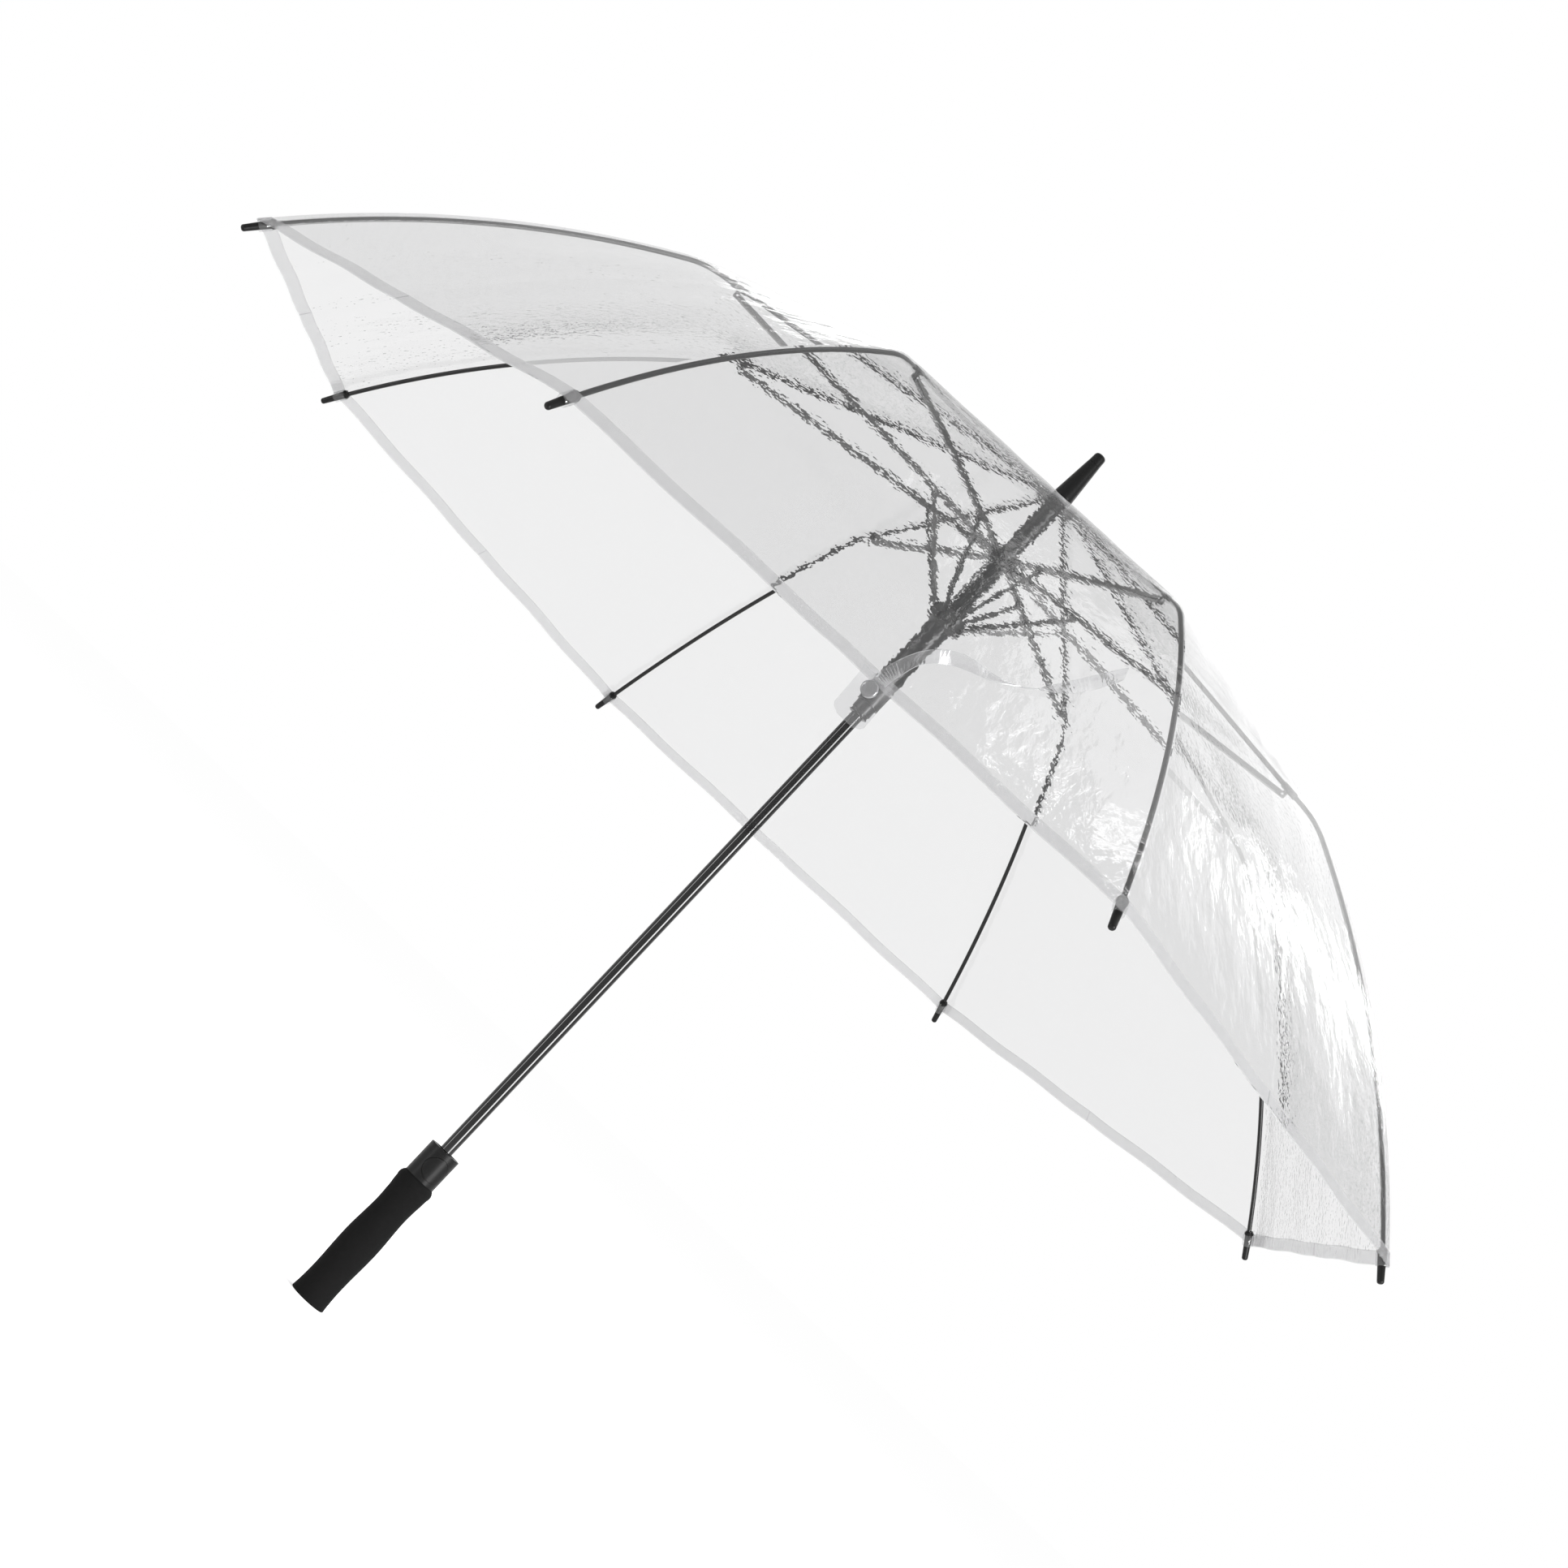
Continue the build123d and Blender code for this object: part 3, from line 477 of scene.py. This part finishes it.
def add_welt(name, azimuth, side):
    """The hem: film folded back on itself and welded, a little thicker than the film."""
    drop = HEM_WIDTH * cos(atan2(-TIP_DIRECTION[1], TIP_DIRECTION[0]))
    # (radius, lift off the film) round the welt
    section = (
        (HEM_R - drop, 0.0006),
        (HEM_R, 0.0009),
        (HEM_R + 0.0004, 0.0),
        (HEM_R, -0.0009),
        (HEM_R - drop, -0.0006),
    )
    verts = []
    for radius, lift in section:
        for j in range(COLUMNS):
            verts.append(film_point(azimuth, side, radius, j / (COLUMNS - 1), lift))
    count = len(section)
    faces = grid_faces(count, COLUMNS)
    last = (count - 1) * COLUMNS
    faces += [(last + j, last + j + 1, j + 1, j) for j in range(COLUMNS - 1)]
    faces.append(tuple(i * COLUMNS for i in range(count)))
    faces.append(tuple(i * COLUMNS + COLUMNS - 1 for i in range(count))[::-1])
    if side > 0:
        faces = [face[::-1] for face in faces]
    return new_piece(name, verts, faces, welt_film, smooth=False)


# ---------------------------------------------------------------- ribs
ROD_FROM = 0.001  # start of the rod, along the rib
ROD_BACK = 0.007  # end of the rod, back from the tip of the cap
ROD_STEP = 0.004


def add_rod(k):
    """The rib's fibreglass rod, in one piece."""
    azimuth = (k - 1) * STEP
    path = []
    distance, end = ROD_FROM, RIB_LENGTH - ROD_BACK
    while distance < end:
        path.append(in_space(azimuth, on_rib(distance)))
        distance += ROD_STEP
    path.append(in_space(azimuth, on_rib(end)))
    rod = tube(f"rod_{k}", path, [ROD_R] * len(path), rod_black)
    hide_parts(f"rib_outer_{k}")
    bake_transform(rod)


def add_rib_fittings(k):
    """The eye at the notch and the clip that carries the stretcher's rivet."""
    azimuth = (k - 1) * STEP
    path, radii = [], []
    # (distance along the rib, radius)
    for distance, radius in (
        (0.319, 0.0024),
        (0.3195, 0.003),
        (0.327, 0.003),
        (0.3345, 0.003),
        (0.335, 0.0024),
    ):
        path.append(in_space(azimuth, on_rib(distance)))
        radii.append(radius)
    clip = tube(f"clip_{k}", path, radii, hub_black, sides=20)
    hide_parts(f"rib_inner_{k}")
    rivet_place = on_rib(RIVET_AT, -RIVET_DROP)
    lug = slab(f"lug_{k}", azimuth, rivet_place, on_rib(RIVET_AT), 0.0019, 0.0026, hub_black)
    path, radii = [], []
    # (place across the rib, radius)
    for across, radius in ((-0.0029, 0.0009), (-0.0026, 0.0012), (0.0026, 0.0012), (0.0029, 0.0009)):
        path.append(in_space(azimuth, rivet_place, across))
        radii.append(radius)
    rivet = tube(f"rivet_{k}", path, radii, spring_steel)
    eye = slab(f"eye_{k}", azimuth, NOTCH, on_rib(0.010), 0.0026, 0.0042, rod_black)
    for piece in (clip, lug, rivet, eye):
        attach(piece, f"rib_inner_{k}")


def slab(name, azimuth, start, end, radius, width, material):
    """A flat link with a round end at start, square at end."""
    along, above = unit(start, end)
    steps = 12
    outline = []
    for i in range(steps + 1):
        turn = pi / 2 + pi * i / steps
        ahead, up = radius * cos(turn), radius * sin(turn)
        outline.append((
            start[0] + ahead * along[0] + up * above[0],
            start[1] + ahead * along[1] + up * above[1],
        ))
    for sign in (-1, 1):
        outline.append((end[0] + sign * radius * above[0], end[1] + sign * radius * above[1]))
    verts = [in_space(azimuth, p, -width / 2) for p in outline]
    verts += [in_space(azimuth, p, width / 2) for p in outline]
    count = len(outline)
    faces = [tuple(range(count)), tuple(range(count, 2 * count))[::-1]]
    for i in range(count):
        after = (i + 1) % count
        faces.append((after, i, i + count, after + count))
    return new_piece(name, verts, faces, material, smooth=False)


def add_pocket(k):
    """The clear loop welded to the hem that holds the rib's cap."""
    azimuth = (k - 1) * STEP
    path, radii = [], []
    # (distance back from the tip, radius)
    for back, radius in (
        (0.0245, 0.0047),
        (0.024, 0.0051),
        (0.019, 0.0051),
        (0.0145, 0.0049),
        (0.0135, 0.0044),
    ):
        path.append(in_space(azimuth, on_rib(RIB_LENGTH - back, 0.0003)))
        radii.append(radius)
    pocket = tube(f"pocket_{k}", path, radii, pocket_film, sides=24, caps=False)
    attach(pocket, f"rib_outer_{k}")


for k in range(1, RIBS + 1):
    add_rod(k)
    add_rib_fittings(k)
    add_pocket(k)
    left = add_half_gore(k, 1)
    add_half_gore(k, -1)
    # each odd rib's gores stand for one quarter of the CAD canopy
    if k % 2:
        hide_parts(f"canopy_quarter_{(k + 1) // 2}")


# ---------------------------------------------------------------- hinge wires and main spring
HINGE_WIRE_R = 0.0007
for name, pivot, body in (
    ("notch_wire", NOTCH, "shaft_and_handle"),
    ("runner_wire", RUNNER_PIVOT, "runner"),
):
    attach(ring(name, pivot[1], pivot[0], HINGE_WIRE_R, spring_steel), body)

SPRING_R = 0.0089
SPRING_WIRE_R = 0.0009
SPRING_TURNS = 17
STEPS_PER_TURN = 28


def add_main_spring():
    """The coil between the runner and the hub, black, close wound."""
    low, high = (corner[2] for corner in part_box("main_spring"))
    low += SPRING_WIRE_R
    high -= SPRING_WIRE_R
    steps = STEPS_PER_TURN * SPRING_TURNS
    path = []
    for i in range(steps + 1):
        share = i / steps
        path.append(in_space(2 * pi * SPRING_TURNS * share, (SPRING_R, low + (high - low) * share)))
    coil = tube("spring_coil", path, [SPRING_WIRE_R] * len(path), steel_black, sides=8)
    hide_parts("main_spring")
    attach(coil, "hub")
    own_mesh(coil)


add_main_spring()


# ---------------------------------------------------------------- closure strap
STRAP_AZIMUTH = radians(247.5)
STRAP_RIB = 7
TAB_MIDDLE = 0.031  # from the middle of the gore, towards the rib
TAB_R = 0.6035
TAB_TOP = 0.609
TAB_WIDTH = 0.026
TAB_LENGTH = 0.036
TAB_STEPS = 14
TAB_BOW = 0.004
TAB_LEAN = 0.002  # aside at the free end
TAB_NARROWS = 0.86  # of its length, where the free end begins to narrow
TAB_THICKNESS = 0.0008
RIBBON_WIDTH = 0.010
RIBBON_THICKNESS = 0.0006
SNAP_Z = 0.599
# (radius, aside, height, turn in degrees) along the ribbon, from the tab to its free end
RIBBON_ROUTE = (
    (0.603, 0.033, 0.606, 0),
    (0.590, 0.034, 0.622, 25),
    (0.572, 0.041, 0.645, 60),
    (0.558, 0.057, 0.662, 35),
    (0.549, 0.084, 0.672, -20),
    (0.536, 0.106, 0.686, -55),
    (0.520, 0.120, 0.703, -15),
    (0.496, 0.134, 0.728, 30),
    (0.470, 0.146, 0.754, 70),
)


def between(a, b, c, d, t):
    """Catmull-Rom curve from b to c, at t from 0 to 1."""
    linear = (c - a) * t
    square = (2 * a - 5 * b + 4 * c - d) * t**2
    cube = (3 * b - a - 3 * c + d) * t**3
    return 0.5 * (2 * b + linear + square + cube)


def smooth_route(points, steps=8):
    """Smooth curve through points of any dimension."""
    out = []
    for i in range(len(points) - 1):
        near = points[max(i - 1, 0)], points[i], points[i + 1], points[min(i + 2, len(points) - 1)]
        for n in range(steps):
            out.append(tuple(between(*values, n / steps) for values in zip(*near)))
    out.append(points[-1])
    return out


def thick_strip(name, left, right, normals, thickness, material):
    """A strip between two lines of points, with thickness."""
    verts = []
    for a, b, n in zip(left, right, normals):
        half = n * (thickness / 2)
        verts += [a + half, b + half, b - half, a - half]
    faces = grid_faces(len(left), 4, closed=True)
    faces.append((0, 1, 2, 3))
    last = 4 * (len(left) - 1)
    faces.append((last + 3, last + 2, last + 1, last))
    return new_piece(name, verts, faces, material, smooth=False)


def tab_strip():
    """The tab: square at the hem, its free end narrowed, bowed in a little."""
    out = in_space(STRAP_AZIMUTH, (1.0, 0.0))
    aside = in_space(STRAP_AZIMUTH, (0.0, 0.0), 1.0)
    left, right = [], []
    for i in range(TAB_STEPS + 1):
        t = i / TAB_STEPS
        end_share = max(0.0, (t - TAB_NARROWS) / (1 - TAB_NARROWS))
        half_width = TAB_WIDTH / 2 * (1 - 0.5 * end_share**2)
        place = (TAB_R - TAB_BOW * sin(pi * t), TAB_TOP - TAB_LENGTH * t)
        centre = in_space(STRAP_AZIMUTH, place, TAB_MIDDLE + TAB_LEAN * t)
        left.append(centre - aside * half_width)
        right.append(centre + aside * half_width)
    return thick_strip("strap_tab", left, right, [out] * len(left), TAB_THICKNESS, pocket_film)


def ribbon_strip():
    """The ribbon, twisting as it goes, and the length of its edge."""
    facing = in_space(STRAP_AZIMUTH, (1.0, 0.0)) + Vector((0, 0, 0.8))
    route = smooth_route(RIBBON_ROUTE)
    line = [in_space(STRAP_AZIMUTH, (r, z), across) for r, across, z, _ in route]
    left, right, normals = [], [], []
    for i, centre in enumerate(line):
        ahead = (line[min(i + 1, len(line) - 1)] - line[max(i - 1, 0)]).normalized()
        over = ahead.cross(facing).normalized()
        twist = radians(route[i][3])
        over = Matrix.Rotation(twist, 3, ahead) @ over
        left.append(centre - over * RIBBON_WIDTH / 2)
        right.append(centre + over * RIBBON_WIDTH / 2)
        normals.append(ahead.cross(over).normalized())
    ribbon = thick_strip("strap_ribbon", left, right, normals, RIBBON_THICKNESS, pocket_film)
    return ribbon, sum((b - a).length for a, b in zip(left, left[1:]))


def snap_button():
    """The round snap on the tab, a domed disc."""
    path, radii = [], []
    # (distance out from the tab, radius)
    for reach, radius in (
        (-0.0022, 0.004),
        (-0.0018, 0.0058),
        (-0.0004, 0.006),
        (0.0012, 0.006),
        (0.0022, 0.0054),
        (0.0026, 0.004),
        (0.0027, 0.0015),
    ):
        path.append(in_space(STRAP_AZIMUTH, (TAB_R + reach, SNAP_Z), TAB_MIDDLE))
        radii.append(radius)
    return tube("strap_snap", path, radii, snap_clear, sides=32)


def add_strap():
    """Tab with a snap hanging from the hem, and the ribbon that lies loose over the gore."""
    tab = tab_strip()
    ribbon, ribbon_length = ribbon_strip()
    snap = snap_button()
    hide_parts("closure_strap")
    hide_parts("snap_stud")
    for piece in (tab, ribbon, snap):
        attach(piece, f"rib_outer_{STRAP_RIB}")
        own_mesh(piece)


add_strap()


# ---------------------------------------------------------------- floor and light
def add_floor():
    """A pale seamless floor."""
    shader = Shader("floor")
    body = shader.add("BsdfDiffuse", Color=(0.99, 0.99, 0.99, 1))
    material = shader.finish(body.outputs[0])
    half = 30
    corners = [(-half, -half, 0), (half, -half, 0), (half, half, 0), (-half, half, 0)]
    new_piece("floor", corners, [(0, 1, 2, 3)], material, smooth=False)


def add_light(name, place, aim, size, power):
    """A rectangular soft light, size in metres, power in watts."""
    data = bpy.data.lights.new(name, "AREA")
    data.shape = "RECTANGLE"
    data.size, data.size_y = size
    data.energy = power
    lamp = bpy.data.objects.new(name, data)
    scene.collection.objects.link(lamp)
    lamp.location = place
    lamp.rotation_euler = (Vector(aim) - Vector(place)).to_track_quat("-Z", "Y").to_euler()


def add_world():
    """White surroundings."""
    world = bpy.data.worlds.new("studio")
    world.use_nodes = True
    background = world.node_tree.nodes["Background"]
    background.inputs["Color"].default_value = (1, 1, 1, 1)
    background.inputs["Strength"].default_value = 1.0
    scene.world = world
    scene.view_settings.view_transform = "Standard"


add_floor()
add_world()
MIDDLE = (0, 0, 0.75)  # of the canopy, where the lights aim
add_light("overhead", (0.9, -0.1, 3.6), MIDDLE, (1.6, 2.0), 24)
add_light("zenith", (0.1, -0.8, 3.6), MIDDLE, (0.4, 0.15), 1.6)
add_light("right_back", (2.0, 1.7, 2.6), MIDDLE, (2.4, 1.5), 17)
add_light("right_edge", (2.3, 1.1, 2.4), MIDDLE, (0.25, 0.9), 7)
add_light("left_back", (0.2, 3.0, 2.3), MIDDLE, (0.6, 0.4), 5)
add_light("left_strip", (-3.1, -0.6, 0.75), MIDDLE, (0.5, 1.8), 30)
add_light("right_strip", (1.5, -2.83, 0.75), MIDDLE, (1.2, 1.8), 170)
